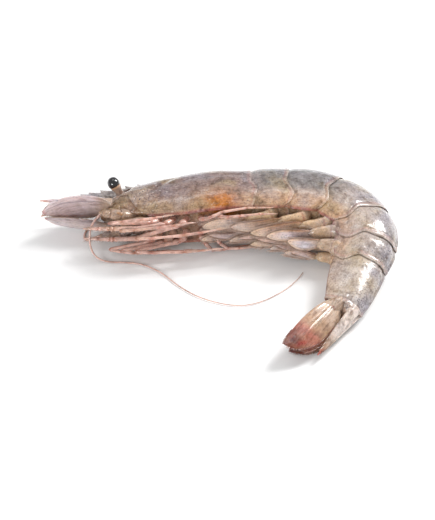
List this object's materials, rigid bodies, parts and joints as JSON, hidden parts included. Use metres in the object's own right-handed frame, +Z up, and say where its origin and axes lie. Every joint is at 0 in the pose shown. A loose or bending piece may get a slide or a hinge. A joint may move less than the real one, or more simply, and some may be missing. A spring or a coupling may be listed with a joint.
{
  "type": "raw prawn",
  "caption": "A raw whiteleg prawn in its shell, head on, lying curled on its right side with its legs and one antenna folded in",
  "frame": {"origin": "centre of the bounding box's bottom, on the surface that the prawn lies on", "axes": "+X from head to tail along the longest extent, +Y towards the back, +Z up towards the left flank"},
  "size_m": [0.0948, 0.0698, 0.0152],
  "materials": {
    "shell": "wet translucent shell over pale flesh",
    "limbs": "wet pale pink shell",
    "tail": "wet shell with dark red tips",
    "eye": "wet black",
    "antennal_scale": "wet lilac grey"
  },
  "bodies": {
    "root": {"carapace": "shell", "abdomen_1": "shell", "abdomen_2": "shell", "abdomen_3": "shell", "abdomen_4": "shell", "abdomen_5": "shell", "abdomen_6": "shell", "telson": "shell", "eye_left": "eye", "antennal_scale_left": "antennal_scale", "antennule_left": "limbs", "antenna_stalk_left": "limbs", "antenna_left": "limbs", "maxilliped_left": "limbs", "leg_left_1": "limbs", "leg_left_2": "limbs", "leg_left_3": "limbs", "leg_left_4": "limbs", "leg_left_5": "limbs", "pleopod_left_1": "limbs", "pleopod_left_2": "limbs", "pleopod_left_3": "limbs", "pleopod_left_4": "limbs", "pleopod_left_5": "limbs", "uropod_exopod_left": "tail", "uropod_endopod_left": "tail", "eye_right": "eye", "antennal_scale_right": "antennal_scale", "antennule_right": "limbs", "antenna_stalk_right": "limbs", "antenna_right": "limbs", "maxilliped_right": "limbs", "leg_right_1": "limbs", "leg_right_2": "limbs", "leg_right_3": "limbs", "leg_right_4": "limbs", "leg_right_5": "limbs", "pleopod_right_1": "limbs", "pleopod_right_2": "limbs", "pleopod_right_3": "limbs", "pleopod_right_4": "limbs", "pleopod_right_5": "limbs", "uropod_exopod_right": "tail", "uropod_endopod_right": "tail"}
  },
  "joints": []
}
